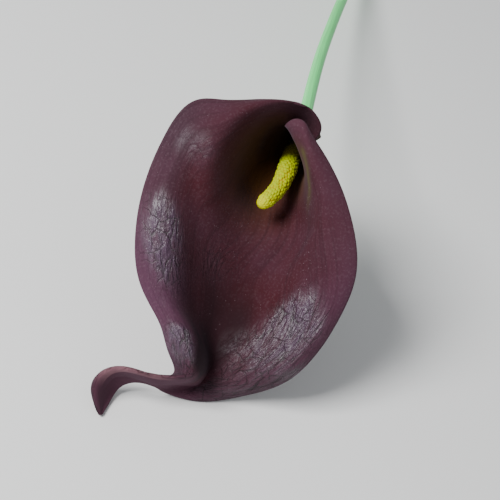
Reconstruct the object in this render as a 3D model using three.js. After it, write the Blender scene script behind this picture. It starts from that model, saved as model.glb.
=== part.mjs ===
// A cut calla lily lying on a flat surface: a rolled spathe, the spadix inside it and a smooth stem.
// Sizes are millimetres and +Z is up.
//
// The bloom is shaped in its own axes: x runs across the blade, y up along it and z out of its mouth.
// It is then tipped back by BLOOM_TILT, so that it rests on its tail, its lower rim and the stem's end.

import * as THREE from 'three';

// Driving dimensions: lengths in millimetres, tilt in degrees. The shares MARGIN_BAND to TAIL_THINNING
// and SPADIX_SWELL_END to SPADIX_ROUNDING are parts of the piece's width or length.
const BLOOM_TILT = 47;
const SPATHE_THICKNESS = 0.9;
const MARGIN_THICKNESS = 0.65;
const TAIL_THICKNESS = 1.1;
const MARGIN_BAND = 0.25;
const TAIL_START = 0.78;
const TAIL_THICKEST = 0.86;
const TAIL_THINNING = 0.94;
const COLLAR_RADIUS = 2.8;
const COLLAR_OVERLAP = 1.3;
const THROAT_RISE = 6;
const THROAT_RISE_HEIGHT = 26;
const SPADIX_RADIUS = 3;
const SPADIX_BASE_RADIUS = 2.1;
const SPADIX_TIP_RADIUS = 2.25;
const SPADIX_TIP_HEIGHT = 0.63;
const SPADIX_SWELL_END = 0.25;
const SPADIX_TAPER_START = 0.5;
const SPADIX_ROUNDING_START = 0.94;
const SPADIX_ROUNDING = 0.75;
const FLORET_HEIGHT = 0.2;
const STEM_DIAMETER = 4.2;
const STEM_INSET = 2;
const SEAT_GAP = 0.3;

// Mesh fineness
const SPATHE_ROWS = 42;
const SPATHE_COLUMNS = 40;
const FLORETS_AROUND = 28;
const FLORET_ROWS = 60;
const STEM_SIDES = 16;
const STEM_STEPS = 26;

// The tube's axis starts at the stem's top, in the bloom's axes.
const AXIS_START = new THREE.Vector3(1, 41.5, -43);
const AXIS = new THREE.Vector3(-0.02, -0.545, 0.84).normalize();
const TOWARD_MIDRIB = new THREE.Vector3(-0.02, -0.84, -0.545).normalize();
const TOWARD_OUTER_SIDE = new THREE.Vector3().crossVectors(TOWARD_MIDRIB, AXIS).normalize();

// The rolled tube: each ring gives the height along the axis and the radius at the midrib, then the
// height, radius and turn in degrees from the midrib at the outer margin and at the inner margin.
const TUBE_RINGS = [
  {
    midrib: [0, COLLAR_RADIUS],
    outer: [0, COLLAR_RADIUS + COLLAR_OVERLAP, 225],
    inner: [0, COLLAR_RADIUS, 200],
  },
  { midrib: [7, 4.4], outer: [7, 5.4, 242], inner: [7, 3.9, 203] },
  { midrib: [13.5, 7], outer: [12.5, 7.2, 236], inner: [14.5, 5.2, 208] },
];

// The flared blade, chosen by eye from throat to tail. Each section crosses the sheet: from the outer
// margin over two handles to the midrib, and over two more handles to the inner margin.
const BLADE_SECTIONS = [
  {
    outer: [[4, 35.4, -27.5], [-5, 50, -20.5], [-17, 25.5, -32]],
    midrib: [1, 25.5, -30.5],
    inner: [[14, 26.5, -29.5], [5.5, 40.5, -15], [-3.5, 38, -18]],
  },
  {
    outer: [[6.3, 39.3, -18.5], [-10, 52, -13.5], [-16.5, 19, -30]],
    midrib: [1, 22, -27.5],
    inner: [[15.5, 24, -26], [1, 34, -2], [-4, 36.8, -8.5]],
  },
  {
    outer: [[3, 43.5, -14], [-14.5, 48, -8.5], [-16, 12.5, -28]],
    midrib: [1, 18.5, -24.5],
    inner: [[17.5, 20, -22.5], [0.8, 32, 3.5], [-2.5, 38.6, -4.5]],
  },
  {
    outer: [[-2.5, 44, -11], [-19, 43.5, 1], [-15.5, 7.5, -25.5]],
    midrib: [2, 14, -22],
    inner: [[19, 15, -20], [3.3, 30, 5.5], [0.5, 39, -2.5]],
  },
  {
    outer: [[-12, 41.4, -9.5], [-22.5, 35, 8.5], [-14, 2, -22]],
    midrib: [5, 8.5, -18.2],
    inner: [[21, 9, -17.5], [7.5, 26.5, 5.5], [3.9, 36.3, -2]],
  },
  {
    outer: [[-23, 36.6, -6.5], [-22.5, 20.5, 11], [-14, -4.5, -19.5]],
    midrib: [6, 2, -17.4],
    inner: [[20.5, 3, -17.5], [12.5, 21.5, 3.5], [10.3, 31.8, -2]],
  },
  {
    outer: [[-32.5, 30.2, -6.5], [-22, 12, 6.5], [-13.5, -12.5, -17.5]],
    midrib: [4.5, -7, -18.3],
    inner: [[18, -4, -17.5], [15.5, 13.5, 0], [19.7, 23.1, -3]],
  },
  {
    outer: [[-34.8, 8.3, -5.5], [-18.5, 2.5, 8], [-13.5, -18.5, -17.8]],
    midrib: [1, -16.5, -18.3],
    inner: [[14, -15, -17.5], [22.5, -1, -4], [28.7, 9.8, -5]],
  },
  {
    outer: [[-30.9, -9.8, -4], [-16, -8, 7], [-11.5, -23.5, -16.3]],
    midrib: [0, -25.5, -17],
    inner: [[10.5, -26, -16], [23, -17, -4], [31.1, -5.5, -8]],
  },
  {
    outer: [[-24.7, -20.8, -4], [-13.5, -17.5, 6], [-5.5, -27.5, -13.5]],
    midrib: [2, -33, -15.5],
    inner: [[10, -34, -14.5], [20, -28.5, -4], [26.4, -26.9, -11.5]],
  },
  {
    outer: [[-16.2, -28, -1.5], [-8, -24.5, 5], [-0.5, -29.5, -8]],
    midrib: [1.5, -38.5, -14.8],
    inner: [[5.5, -40.5, -15], [13, -36.5, -9], [15.5, -39.5, -19]],
  },
  {
    outer: [[-10.9, -34.5, -2], [-4, -31.5, 5.5], [1.5, -35, -3.5]],
    midrib: [0, -42, -14.5],
    inner: [[0.5, -44, -15], [2.5, -44.5, -12.5], [3.5, -46, -16]],
  },
  {
    outer: [[-7, -39.8, -6], [-1.5, -37, 4], [-0.5, -40, -5.5]],
    midrib: [-4.5, -43.5, -12],
    inner: [[-6, -45.5, -13], [-6.5, -46.5, -13], [-6.5, -47.5, -13]],
  },
  {
    outer: [[-10, -43, -5], [-11, -41, 1], [-10.5, -43, -2]],
    midrib: [-10, -44.5, -6],
    inner: [[-10.5, -45.5, -8], [-10.5, -46, -9], [-10.5, -46.5, -9]],
  },
  {
    outer: [[-16, -44, -3], [-16.5, -41.5, 4], [-16, -43.5, 1]],
    midrib: [-16, -45, -4],
    inner: [[-15.5, -45.5, -6], [-15.5, -46, -6], [-15.5, -46.5, -7]],
  },
  {
    outer: [[-23, -46, -4], [-23.5, -43.5, 3], [-22.5, -45.5, 0]],
    midrib: [-22, -47, -4],
    inner: [[-21, -48, -6], [-20, -49, -7], [-19.5, -49.5, -8]],
  },
  {
    outer: [[-26.5, -51.5, -4], [-27, -50.5, 1], [-25, -51.5, -1]],
    midrib: [-23.5, -52.5, -4],
    inner: [[-22.5, -53, -6], [-21.5, -53, -7], [-20.5, -53.5, -7]],
  },
  {
    outer: [[-22, -58.5, -1.5], [-22, -58.5, -1.5], [-21.5, -58.5, -1.5]],
    midrib: [-21.5, -58.5, -2],
    inner: [[-21.5, -58.5, -2], [-21, -58, -2.5], [-21, -58, -2.5]],
  },
];

// The spadix's centre line in the bloom's axes, from just inside the collar to its blunt tip
const SPADIX_LINE = [
  [1.2, 36.5, -36],
  [1.2, 32, -29],
  [1.2, 28, -23],
  [1.3, 24, -18],
  [0.8, 19.5, -14],
  [-0.5, 16, -11.5],
  [-2.5, 12.5, -10],
];

// The stem's centre line in the lying pose, from the collar: distance across, back and up
const STEM_LINE = [
  [-0.8, 10.5, -2],
  [-2.1, 30, -6],
  [-3.5, 57, -11.4],
  [-4.2, 87, -17.6],
  [-4.4, 119, -24.4],
  [-4, 160, -33],
  [-3, 216, -44],
];

// Solves a natural cubic spline through evenly numbered rows and returns a function of the row number.
function naturalSpline(rows) {
  const last = rows.length - 1;
  const width = rows[0].length;
  const slopes = rows.map(() => new Array(width).fill(0));
  for (let column = 0; column < width; column += 1) {
    const upper = new Array(last + 1).fill(0);
    const right = new Array(last + 1).fill(0);
    for (let row = 0; row <= last; row += 1) {
      const before = rows[Math.max(row - 1, 0)][column];
      const after = rows[Math.min(row + 1, last)][column];
      const isEnd = row === 0 || row === last;
      const diagonal = (isEnd ? 2 : 4) - (row === 0 ? 0 : upper[row - 1]);
      upper[row] = 1 / diagonal;
      right[row] = (3 * (after - before) - (row === 0 ? 0 : right[row - 1])) / diagonal;
    }
    slopes[last][column] = right[last];
    for (let row = last - 1; row >= 0; row -= 1) {
      slopes[row][column] = right[row] - upper[row] * slopes[row + 1][column];
    }
  }
  return (position) => {
    const row = Math.min(Math.max(Math.floor(position), 0), last - 1);
    const s = position - row;
    const atStart = 2 * s ** 3 - 3 * s ** 2 + 1;
    const startSlope = s ** 3 - 2 * s ** 2 + s;
    const atEnd = 3 * s ** 2 - 2 * s ** 3;
    const endSlope = s ** 3 - s ** 2;
    return rows[row].map((value, column) => (
      value * atStart + slopes[row][column] * startSlope
      + rows[row + 1][column] * atEnd + slopes[row + 1][column] * endSlope
    ));
  };
}

// A point beside the tube's axis, which rises away from the midrib as the throat widens
function besideAxis(height, radius, turn) {
  const angle = THREE.MathUtils.degToRad(turn);
  const rise = THROAT_RISE * (height / THROAT_RISE_HEIGHT) ** 2;
  return AXIS_START.clone()
    .addScaledVector(AXIS, height)
    .addScaledVector(TOWARD_MIDRIB, radius * Math.cos(angle) - rise)
    .addScaledVector(TOWARD_OUTER_SIDE, radius * Math.sin(angle));
}

// The direction round the tube at a given turn, toward larger turns
function aroundAxis(turn) {
  const angle = THREE.MathUtils.degToRad(turn);
  return TOWARD_OUTER_SIDE.clone().multiplyScalar(Math.cos(angle))
    .addScaledVector(TOWARD_MIDRIB, -Math.sin(angle));
}

// How far a handle reaches, in radii, for an arc of this many degrees
function handleReach(turn) {
  return (4 / 3) * Math.tan(THREE.MathUtils.degToRad(turn) / 4);
}

// One tube ring as a section of the same kind as the blade's
function tubeSection({ midrib, outer, inner }) {
  const [outerHeight, outerRadius, outerTurn] = outer;
  const [innerHeight, innerRadius, innerTurn] = inner;
  const [midribHeight, midribRadius] = midrib;
  const outerReach = handleReach(outerTurn);
  const innerReach = handleReach(innerTurn);
  const outerMargin = besideAxis(outerHeight, outerRadius, outerTurn);
  const innerMargin = besideAxis(innerHeight, innerRadius, -innerTurn);
  const rib = besideAxis(midribHeight, midribRadius, 0);
  return {
    outer: [
      outerMargin.toArray(),
      outerMargin.clone().addScaledVector(aroundAxis(outerTurn), -outerReach * outerRadius).toArray(),
      rib.clone().addScaledVector(aroundAxis(0), outerReach * midribRadius).toArray(),
    ],
    midrib: rib.toArray(),
    inner: [
      rib.clone().addScaledVector(aroundAxis(0), -innerReach * midribRadius).toArray(),
      innerMargin.clone().addScaledVector(aroundAxis(-innerTurn), innerReach * innerRadius).toArray(),
      innerMargin.toArray(),
    ],
  };
}

// The spathe's middle surface: along runs 0 to 1 from collar to tail, across -1 to 1 from the outer
// margin over the midrib to the inner margin.
function makeSpatheSurface() {
  const sections = [...TUBE_RINGS.map(tubeSection), ...BLADE_SECTIONS];
  const rows = sections.map(({ outer, midrib, inner }) => [outer, midrib, inner].flat(2));
  const spline = naturalSpline(rows);
  return (along, across) => {
    const flat = spline(along * (sections.length - 1));
    const first = across <= 0 ? 0 : 3;
    const s = across <= 0 ? 1 + across : across;
    const weights = [(1 - s) ** 3, 3 * s * (1 - s) ** 2, 3 * s ** 2 * (1 - s), s ** 3];
    const point = new THREE.Vector3();
    weights.forEach((weight, index) => {
      const at = (first + index) * 3;
      point.addScaledVector(new THREE.Vector3(flat[at], flat[at + 1], flat[at + 2]), weight);
    });
    return point;
  };
}

// The surface's unit normal, out of the mouth on the blade
function surfaceNormal(surface, along, across) {
  const step = 0.002;
  const further = surface(Math.min(along + step, 1), across);
  const nearer = surface(Math.max(along - step, 0), across);
  const inward = surface(along, Math.min(across + step, 1));
  const outward = surface(along, Math.max(across - step, -1));
  return further.sub(nearer).cross(inward.sub(outward)).normalize();
}

// Thick over the blade, thinner at both margins, thicker again along the tail
function spatheThickness(along, across) {
  const { lerp, smoothstep } = THREE.MathUtils;
  const inward = smoothstep(1 - Math.abs(across), 0, MARGIN_BAND);
  const sheet = lerp(MARGIN_THICKNESS, SPATHE_THICKNESS, inward);
  const swell = smoothstep(along, TAIL_START, TAIL_THICKEST);
  const thinning = smoothstep(along, TAIL_THINNING, 1);
  return lerp(sheet, TAIL_THICKNESS, swell * (1 - thinning));
}

// Covers one face of a sheet with triangles. The grid's vertices start at offset, row by row.
function pushGrid(faces, rows, columns, offset, isFlipped) {
  for (let row = 0; row < rows; row += 1) {
    for (let column = 0; column < columns; column += 1) {
      const a = offset + row * (columns + 1) + column;
      const b = a + 1;
      const c = b + columns + 1;
      const d = a + columns + 1;
      if (isFlipped) {
        faces.push(a, b, c, a, c, d);
      } else {
        faces.push(a, c, b, a, d, c);
      }
    }
  }
}

// Joins the two faces of a sheet along one border, given as vertex numbers of the front face.
function pushBorder(faces, border, backOffset) {
  for (let index = 0; index + 1 < border.length; index += 1) {
    const a = border[index];
    const b = border[index + 1];
    faces.push(a, b, b + backOffset, a, b + backOffset, a + backOffset);
  }
}

function range(count) {
  return Array.from({ length: count }, (_, index) => index);
}

function geometryOf(points, faces) {
  const geometry = new THREE.BufferGeometry();
  const coordinates = points.flatMap((point) => point.toArray());
  geometry.setAttribute('position', new THREE.Float32BufferAttribute(coordinates, 3));
  geometry.setIndex(faces);
  geometry.computeVertexNormals();
  return geometry;
}

function makeSpatheGeometry() {
  const surface = makeSpatheSurface();
  const front = [];
  const back = [];
  for (let row = 0; row <= SPATHE_ROWS; row += 1) {
    for (let column = 0; column <= SPATHE_COLUMNS; column += 1) {
      const along = row / SPATHE_ROWS;
      const across = (2 * column) / SPATHE_COLUMNS - 1;
      const middle = surface(along, across);
      const normal = surfaceNormal(surface, along, across);
      const half = spatheThickness(along, across) / 2;
      front.push(middle.clone().addScaledVector(normal, half));
      back.push(middle.clone().addScaledVector(normal, -half));
    }
  }
  const faces = [];
  const width = SPATHE_COLUMNS + 1;
  const collarBorder = range(width);
  const tailBorder = collarBorder.map((column) => SPATHE_ROWS * width + column).reverse();
  const outerBorder = range(SPATHE_ROWS + 1).map((row) => row * width).reverse();
  const innerBorder = range(SPATHE_ROWS + 1).map((row) => row * width + SPATHE_COLUMNS);
  pushGrid(faces, SPATHE_ROWS, SPATHE_COLUMNS, 0, false);
  pushGrid(faces, SPATHE_ROWS, SPATHE_COLUMNS, front.length, true);
  pushBorder(faces, collarBorder, front.length);
  pushBorder(faces, tailBorder, front.length);
  pushBorder(faces, outerBorder, front.length);
  pushBorder(faces, innerBorder, front.length);
  return geometryOf([...front, ...back], faces);
}

// The spadix swells from its base, keeps its girth and rounds off at the tip.
function spadixRadius(along) {
  const { lerp, smoothstep } = THREE.MathUtils;
  const swell = smoothstep(along, 0, SPADIX_SWELL_END);
  const taper = smoothstep(along, SPADIX_TAPER_START, 1);
  const girth = lerp(SPADIX_BASE_RADIUS, SPADIX_RADIUS, swell);
  const body = lerp(girth, SPADIX_TIP_RADIUS, taper);
  const tip = Math.max((along - SPADIX_ROUNDING_START) / (1 - SPADIX_ROUNDING_START), 0);
  return body * Math.sqrt(1 - SPADIX_ROUNDING * tip ** 2);
}

// Florets stand on a staggered lattice: every second crossing of rows and columns is raised.
function makeSpadixGeometry() {
  const collarSeat = besideAxis(STEM_INSET + SEAT_GAP, 0, 0);
  const line = [collarSeat, ...SPADIX_LINE.map((point) => new THREE.Vector3(...point))];
  const curve = new THREE.CatmullRomCurve3(line);
  const frames = curve.computeFrenetFrames(FLORET_ROWS, false);
  const points = [];
  const faces = [];
  for (let row = 0; row <= FLORET_ROWS; row += 1) {
    const along = row / FLORET_ROWS;
    const centre = curve.getPointAt(along);
    const isEnd = row === 0 || row === FLORET_ROWS;
    for (let column = 0; column < FLORETS_AROUND; column += 1) {
      const angle = (2 * Math.PI * column) / FLORETS_AROUND;
      const isFloret = !isEnd && (row + column) % 2 === 0;
      const radius = spadixRadius(along) + (isFloret ? FLORET_HEIGHT : 0);
      points.push(centre.clone()
        .addScaledVector(frames.normals[row], radius * Math.cos(angle))
        .addScaledVector(frames.binormals[row], radius * Math.sin(angle)));
    }
  }
  for (let row = 0; row < FLORET_ROWS; row += 1) {
    for (let column = 0; column < FLORETS_AROUND; column += 1) {
      const a = row * FLORETS_AROUND + column;
      const b = row * FLORETS_AROUND + (column + 1) % FLORETS_AROUND;
      const c = b + FLORETS_AROUND;
      const d = a + FLORETS_AROUND;
      faces.push(a, b, c, a, c, d);
    }
  }
  const tipRow = FLORET_ROWS * FLORETS_AROUND;
  points.push(curve.getPointAt(0));
  points.push(curve.getPointAt(1).addScaledVector(frames.tangents[FLORET_ROWS], SPADIX_TIP_HEIGHT));
  const baseCentre = points.length - 2;
  const tipCentre = points.length - 1;
  for (let column = 0; column < FLORETS_AROUND; column += 1) {
    const next = (column + 1) % FLORETS_AROUND;
    faces.push(baseCentre, next, column);
    faces.push(tipCentre, tipRow + column, tipRow + next);
  }
  return geometryOf(points, faces);
}

// From the bloom's axes to the lying pose
function tipBack(point) {
  return point.applyAxisAngle(new THREE.Vector3(1, 0, 0), THREE.MathUtils.degToRad(BLOOM_TILT));
}

// The stem, in the lying pose: it starts inside the collar and runs back and down to its cut end.
function makeStemGeometry() {
  const collar = tipBack(AXIS_START.clone());
  const top = tipBack(besideAxis(STEM_INSET, 0, 0));
  const below = STEM_LINE.map((offset) => collar.clone().add(new THREE.Vector3(...offset)));
  const curve = new THREE.CatmullRomCurve3([top, collar, ...below]);
  const outline = range(STEM_SIDES).map((side) => {
    const angle = (2 * Math.PI * side) / STEM_SIDES;
    return new THREE.Vector2(Math.cos(angle), Math.sin(angle)).multiplyScalar(STEM_DIAMETER / 2);
  });
  return new THREE.ExtrudeGeometry(new THREE.Shape(outline), {
    steps: STEM_STEPS,
    extrudePath: curve,
    bevelEnabled: false,
  });
}

function makePiece(name, geometry, color, roughness) {
  const material = new THREE.MeshStandardMaterial({ color, roughness, metalness: 0 });
  const piece = new THREE.Mesh(geometry, material);
  piece.name = name;
  return piece;
}

function makeFlower() {
  const bloom = new THREE.Group();
  bloom.rotation.x = THREE.MathUtils.degToRad(BLOOM_TILT);
  bloom.add(makePiece('spathe', makeSpatheGeometry(), '#4a252c', 0.45));
  bloom.add(makePiece('spadix', makeSpadixGeometry(), '#ccd514', 0.6));
  const flower = new THREE.Group();
  flower.add(bloom);
  flower.add(makePiece('stem', makeStemGeometry(), '#9cd8a5', 0.5));
  return flower;
}

// Stands the flower on the surface: the origin is the bottom centre of its box.
function placeOnSurface(flower) {
  flower.updateMatrixWorld(true);
  const box = new THREE.Box3().setFromObject(flower, true);
  const centre = box.getCenter(new THREE.Vector3());
  flower.position.set(-centre.x, -centre.y, -box.min.z);
  return flower;
}

const callaLily = placeOnSurface(makeFlower());

export default callaLily;
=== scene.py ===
"""A cut calla lily on a pale floor: a rolled spathe, a granular spadix and a smooth stem."""

import logging
import math
from collections.abc import Callable
from dataclasses import dataclass
from enum import Enum

import bmesh
import bpy
import numpy as np
from mathutils import Matrix, Vector, noise


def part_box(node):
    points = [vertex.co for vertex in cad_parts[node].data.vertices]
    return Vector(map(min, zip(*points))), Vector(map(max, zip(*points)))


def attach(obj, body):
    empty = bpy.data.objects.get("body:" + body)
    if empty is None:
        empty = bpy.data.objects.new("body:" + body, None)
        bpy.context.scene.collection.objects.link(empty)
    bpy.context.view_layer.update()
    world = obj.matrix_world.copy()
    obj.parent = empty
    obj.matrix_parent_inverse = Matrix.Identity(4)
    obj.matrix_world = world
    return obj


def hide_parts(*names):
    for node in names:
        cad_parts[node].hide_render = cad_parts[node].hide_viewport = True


LOG = logging.getLogger("calla")
MM = 0.001
BODY = "root"
MERGE_DISTANCE = 0.002 * MM
SHORTEST_VECTOR = 1e-12

Pair = tuple[float, float]
Triple = tuple[float, float, float]
Colour = Triple
Socket = bpy.types.NodeSocket

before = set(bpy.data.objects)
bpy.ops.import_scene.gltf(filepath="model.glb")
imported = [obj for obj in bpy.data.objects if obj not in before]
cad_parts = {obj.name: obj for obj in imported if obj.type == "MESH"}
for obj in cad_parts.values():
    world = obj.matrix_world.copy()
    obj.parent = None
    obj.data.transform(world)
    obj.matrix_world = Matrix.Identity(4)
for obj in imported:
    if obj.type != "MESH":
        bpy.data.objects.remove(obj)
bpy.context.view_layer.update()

# Control points in millimetres, from throat to tail, each section from the outer margin over the
# midrib to the inner margin.
BLADE_SECTIONS = [
    [(4, 35.4, -27.5), (-5, 50, -20.5), (-17, 25.5, -32), (1, 25.5, -30.5),
     (14, 26.5, -29.5), (5.5, 40.5, -15), (-3.5, 38, -18)],
    [(6.3, 39.3, -18.5), (-10, 52, -13.5), (-16.5, 19, -30), (1, 22, -27.5),
     (15.5, 24, -26), (1, 34, -2), (-4, 36.8, -8.5)],
    [(3, 43.5, -14), (-14.5, 48, -8.5), (-16, 12.5, -28), (1, 18.5, -24.5),
     (17.5, 20, -22.5), (0.8, 32, 3.5), (-2.5, 38.6, -4.5)],
    [(-2.5, 44, -11), (-19, 43.5, 1), (-15.5, 7.5, -25.5), (2, 14, -22),
     (19, 15, -20), (3.3, 30, 5.5), (0.5, 39, -2.5)],
    [(-12, 41.4, -9.5), (-22.5, 35, 8.5), (-14, 2, -22), (5, 8.5, -18.2),
     (21, 9, -17.5), (7.5, 26.5, 5.5), (3.9, 36.3, -2)],
    [(-23, 36.6, -6.5), (-22.5, 20.5, 11), (-14, -4.5, -19.5), (6, 2, -17.4),
     (20.5, 3, -17.5), (12.5, 21.5, 3.5), (10.3, 31.8, -2)],
    [(-32.5, 30.2, -6.5), (-22, 12, 6.5), (-13.5, -12.5, -17.5), (4.5, -7, -18.3),
     (18, -4, -17.5), (15.5, 13.5, 0), (19.7, 23.1, -3)],
    [(-34.8, 8.3, -5.5), (-18.5, 2.5, 8), (-13.5, -18.5, -17.8), (1, -16.5, -18.3),
     (14, -15, -17.5), (22.5, -1, -4), (28.7, 9.8, -5)],
    [(-30.9, -9.8, -4), (-16, -8, 7), (-11.5, -23.5, -16.3), (0, -25.5, -17),
     (10.5, -26, -16), (23, -17, -4), (31.1, -5.5, -8)],
    [(-24.7, -20.8, -4), (-13.5, -17.5, 6), (-5.5, -27.5, -13.5), (2, -33, -15.5),
     (10, -34, -14.5), (20, -28.5, -4), (26.4, -26.9, -11.5)],
    [(-16.2, -28, -1.5), (-8, -24.5, 5), (-0.5, -29.5, -8), (1.5, -38.5, -14.8),
     (5.5, -40.5, -15), (13, -36.5, -9), (15.5, -39.5, -19)],
    [(-10.9, -34.5, -2), (-4, -31.5, 5.5), (1.5, -35, -3.5), (0, -42, -14.5),
     (0.5, -44, -15), (2.5, -44.5, -12.5), (3.5, -46, -16)],
    [(-7, -39.8, -6), (-1.5, -37, 4), (-0.5, -40, -5.5), (-4.5, -43.5, -12),
     (-6, -45.5, -13), (-6.5, -46.5, -13), (-6.5, -47.5, -13)],
    [(-10, -43, -5), (-11, -41, 1), (-10.5, -43, -2), (-10, -44.5, -6),
     (-10.5, -45.5, -8), (-10.5, -46, -9), (-10.5, -46.5, -9)],
    [(-16, -44, -3), (-16.5, -41.5, 4), (-16, -43.5, 1), (-16, -45, -4),
     (-15.5, -45.5, -6), (-15.5, -46, -6), (-15.5, -46.5, -7)],
    [(-23, -46, -4), (-23.5, -43.5, 3), (-22.5, -45.5, 0), (-22, -47, -4),
     (-21, -48, -6), (-20, -49, -7), (-19.5, -49.5, -8)],
    [(-26.5, -51.5, -4), (-27, -50.5, 1), (-25, -51.5, -1), (-23.5, -52.5, -4),
     (-22.5, -53, -6), (-21.5, -53, -7), (-20.5, -53.5, -7)],
    [(-22, -58.5, -1.5), (-22, -58.5, -1.5), (-21.5, -58.5, -1.5), (-21.5, -58.5, -2),
     (-21.5, -58.5, -2), (-21, -58, -2.5), (-21, -58, -2.5)],
]

# The spadix's centre line in the bloom's axes, from the collar to the blunt tip
SPADIX_LINE = [
    (1.2, 36.5, -36), (1.2, 32, -29), (1.2, 28, -23), (1.3, 24, -18),
    (0.8, 19.5, -14), (-0.5, 16, -11.5), (-2.5, 12.5, -10),
]

# The crease down the side that folds over, in the bloom's axes, from the throat to the blade, with
# a painted pale highlight and dust along it
FOLD_LINE = [
    (3.9, 31.2, -3.2), (5.1, 29.3, -3.6), (6.7, 27, -4.4), (8.1, 24.6, -6),
    (9.3, 22.1, -7.3), (10.3, 19.6, -10), (11.2, 16.9, -11.6), (12.5, 12.8, -12.3),
    (13.9, 8.7, -11.7), (15.7, 3.2, -9.7), (17.3, -2.3, -10.1), (18.6, -7.9, -10.1),
]

# The stem's centre line in the lying pose, from the collar: distance across, back and up
STEM_LINE = [
    (-0.8, 10.5, -2), (-2.1, 30, -6), (-3.5, 57, -11.4), (-4.2, 87, -17.6),
    (-4.4, 119, -24.4), (-4, 160, -33), (-3, 216, -44),
]

# Soft-edged zones of the sheet: spans across it, 0 at the outer margin and 1 at the inner one, and
# spans along it, 0 at the collar and 1 at the tip. Each span runs from none to full.
ZONES = {
    # lower left and lower right: painted violet sheen; upper left: painted shade
    "lower left": ([(0.36, 0.14)], [(0.48, 0.56)]),
    "upper left": ([(0.24, 0.08)], [(0.53, 0.48), (0.38, 0.46)]),
    "lower right": ([(0.66, 0.86)], [(0.46, 0.54)]),
    # painted shade under the rim
    "painted shade under the rim": ([(0.30, 0.16)], [(0.43, 0.35)]),
    "throat": ([(0.66, 0.46), (0.10, 0.27)], [(0.43, 0.22)]),
    "throat by the fold": ([(0.95, 0.86), (0.10, 0.27)], [(0.33, 0.18)]),
    # channel and hollow: painted shade in the recess beside the lip
    "channel": ([(0.37, 0.47), (0.67, 0.57)], [(0.43, 0.53)]),
    "painted_hollow_shade": ([(0.22, 0.32), (0.54, 0.44)], [(0.59, 0.65), (0.74, 0.70)]),
    "bottom": ([(0.35, 0.5)], [(0.56, 0.63)]),
    "bottom right": ([(0.55, 0.85)], [(0.56, 0.64)]),
    "bottom margin": ([(0.84, 0.92)], [(0.58, 0.64)]),
    "middle": ([(0.76, 0.62), (0.38, 0.48)], []),
    "before the tail": ([], [(0.73, 0.69)]),
    "tail": ([], [(0.70, 0.76)]),
    "curl": ([], [(0.76, 0.80), (0.94, 0.90)]),
    "collar": ([], [(0.16, 0.02)]),
}


def smooth(value: np.ndarray, low: float, high: float) -> np.ndarray:
    """Eases from 0 at low to 1 at high.

    Args:
        value: The numbers to ease.
        low: Where the result is still 0.
        high: Where the result reaches 1.

    Returns:
        The eased share of each number.
    """
    share = np.clip((value - low) / (high - low), 0, 1)
    return share * share * (3 - 2 * share)


def unit(vectors: np.ndarray) -> np.ndarray:
    """Returns the vectors at length one."""
    return vectors / np.maximum(np.linalg.norm(vectors, axis=-1, keepdims=True), SHORTEST_VECTOR)


# The tube's axis starts at the stem's top, in the bloom's axes: x across the blade, y up, z out.
# It bends away from the midrib as the throat widens.
AXIS_START = np.array([1.0, 41.5, -43.0]) * MM
AXIS = unit(np.array([-0.02, -0.545, 0.84]))
TO_MIDRIB = unit(np.array([-0.02, -0.84, -0.545]))
TO_OUTER_SIDE = unit(np.cross(TO_MIDRIB, AXIS))
THROAT_RISE = 6 * MM
THROAT_RISE_HEIGHT = 26 * MM


def bell(value: np.ndarray, width: float, middle: float = 0.0) -> np.ndarray:
    """Returns a bell curve of the numbers, 1 at its middle."""
    return np.exp(-((value - middle) / width) ** 2)


def noise_at(points: np.ndarray, scale: float, offset: Triple = (0, 0, 0)) -> np.ndarray:
    """Reads a soft noise at points in space.

    Args:
        points: The points, in an array of any shape.
        scale: Features per metre.
        offset: Where in the noise the points start.

    Returns:
        One number around 0 for each point.
    """
    start, flat = Vector(offset), points.reshape(-1, 3)
    values = [noise.noise(Vector(point) * scale + start) for point in flat]
    return np.array(values).reshape(points.shape[:-1])


class NaturalSpline:
    """A natural cubic spline through evenly numbered rows of numbers or points."""

    def __init__(self, rows: np.ndarray) -> None:
        """Solves the spline's slopes.

        Args:
            rows: The rows that the spline passes, first axis first.
        """
        count = len(rows)
        matrix = np.diag([2.0] + [4.0] * (count - 2) + [2.0])
        matrix += np.diag(np.ones(count - 1), 1) + np.diag(np.ones(count - 1), -1)
        padded = np.concatenate([rows[:1], rows, rows[-1:]])
        differences = 3 * (padded[2:] - padded[:-2])
        slopes = np.linalg.solve(matrix, differences.reshape(count, -1))
        self.rows = rows
        self.slopes = slopes.reshape(rows.shape)

    def at(self, position: np.ndarray) -> np.ndarray:
        """Reads the spline.

        Args:
            position: Row numbers, whole or between rows.

        Returns:
            One row for each position.
        """
        row = np.clip(np.floor(position).astype(int), 0, len(self.rows) - 2)
        s = (position - row).reshape((-1,) + (1,) * (self.rows.ndim - 1))
        start = 2 * s**3 - 3 * s**2 + 1
        start_slope = s**3 - 2 * s**2 + s
        end_slope = s**3 - s**2
        value = self.rows[row] * start + self.slopes[row] * start_slope
        return value + self.rows[row + 1] * (1 - start) + self.slopes[row + 1] * end_slope


def math_node(operation: str, swapped: bool = False) -> Callable:
    """Makes a method of a signal that adds one Math node.

    Args:
        operation: Blender's name of the operation.
        swapped: True where the signal is the second operand.

    Returns:
        The method.
    """
    def method(signal: "Signal", other: "Signal | float") -> "Signal":
        values = (other, signal) if swapped else (signal, other)
        settings = {"operation": operation}
        node = signal.graph.node("ShaderNodeMath", settings, dict(enumerate(values)))
        return Signal(signal.graph, node.outputs[0])
    return method


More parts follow.
